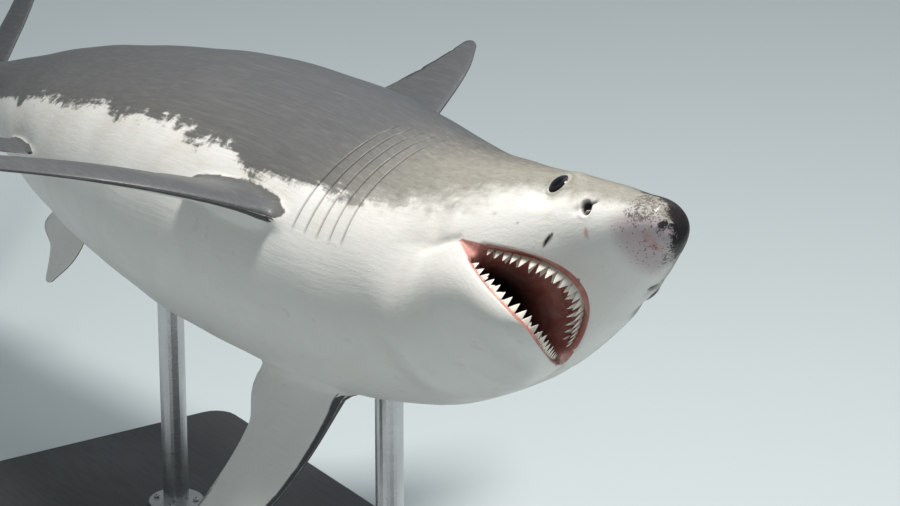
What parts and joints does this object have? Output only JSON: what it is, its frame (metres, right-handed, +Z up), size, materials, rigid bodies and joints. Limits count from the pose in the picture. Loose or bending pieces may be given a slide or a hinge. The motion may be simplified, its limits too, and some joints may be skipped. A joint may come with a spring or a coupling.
{
  "type": "great white shark display model",
  "caption": "Life-size still model of a great white shark, banked on its side with head raised and jaws open, held by rods on a flat display base.",
  "frame": {"origin": "centre of the stand base's underside, on the floor", "axes": "+X toward the shark's snout, +Z up, +Y toward the shark's back; the shark lies banked with its right side up"},
  "size_m": [3.6708, 1.541, 1.3616],
  "materials": {
    "skin": "wet satin skin, slate grey on the back and white on the belly",
    "eye": "glossy black",
    "stand_board": "black satin paint on board",
    "stand_steel": "brushed"
  },
  "bodies": {
    "root": {"head": "skin", "lower_jaw": "skin", "gill_region": "skin", "trunk_front": "skin", "trunk_rear": "skin", "tail_stalk": "skin", "first_dorsal_fin": "skin", "second_dorsal_fin": "skin", "anal_fin": "skin", "caudal_fin": "skin", "pectoral_fin_right": "skin", "pectoral_fin_left": "skin", "pelvic_fin_right": "skin", "pelvic_fin_left": "skin", "eye_right": "eye", "eye_left": "eye", "stand_base": "stand_board", "stand_rod_front": "stand_steel", "stand_rod_rear": "stand_steel"}
  },
  "joints": []
}
